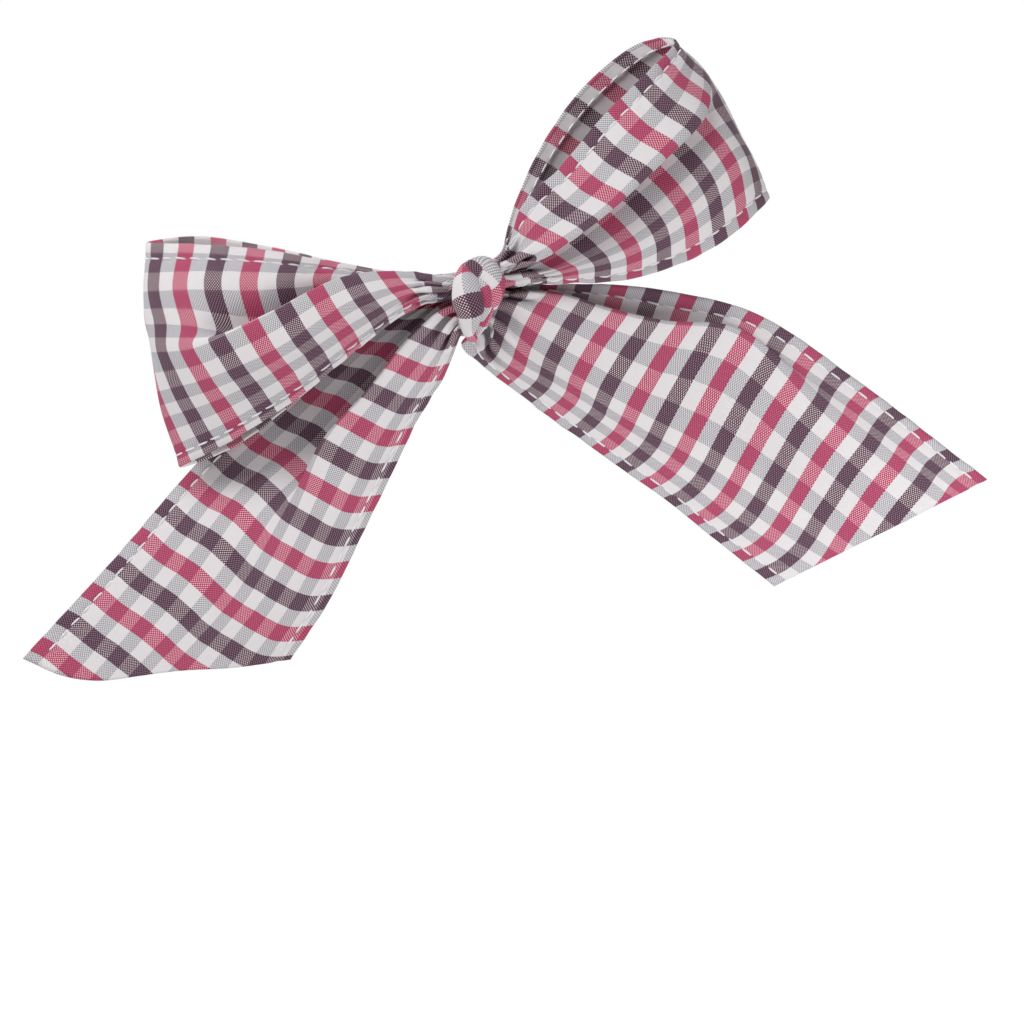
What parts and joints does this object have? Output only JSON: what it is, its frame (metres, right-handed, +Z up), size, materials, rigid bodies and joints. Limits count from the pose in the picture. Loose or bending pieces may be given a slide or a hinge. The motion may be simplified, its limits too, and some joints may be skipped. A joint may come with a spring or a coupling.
{
  "type": "hair bow",
  "caption": "Floppy gingham hair bow with two loops and two long tails gathered under a wrapped knot, on a sprung alligator clip that grips the hair.",
  "frame": {"origin": "the point between the clip's jaws behind the knot, on the line where the hair lies, where the bow is fastened", "axes": "+X along the bow's spread, from the wearer's right to left as seen from the front, +Y from the bow towards the hair it is clipped to, +Z up"},
  "size_m": [0.1642, 0.0244, 0.1088],
  "materials": {
    "gingham": "woven cotton gingham in pink, dark purple, grey and white",
    "thread": "white sewing thread",
    "ribbon": "white grosgrain ribbon",
    "clip_steel": "nickel-plated sheet",
    "pin_steel": "plated pin",
    "spring_steel": "bright spring wire"
  },
  "bodies": {
    "bow": {"loop_strip": "gingham", "tail_strip": "gingham", "knot_wrap": "gingham", "loop_hem_stitches_upper": "thread", "loop_hem_stitches_lower": "thread", "tail_hem_stitches_upper": "thread", "tail_hem_stitches_lower": "thread", "gather_thread": "thread", "wrap_seam_stitches": "thread", "clip_lining": "ribbon", "front_jaw": "clip_steel", "hinge_pin": "pin_steel", "torsion_spring": "spring_steel"},
    "back_jaw": {"back_jaw": "clip_steel"}
  },
  "joints": [
    {"name": "clip_hinge", "type": "hinge", "parent": "bow", "child": "back_jaw", "pos_m": [0.0085, 0.0019, -0.0025], "axis": [0, 0, -1], "range_deg": [0, 32], "stiffness_Nm_per_rad": 0.05, "springref_deg": -34.38, "deforming": ["torsion_spring"]}
  ]
}
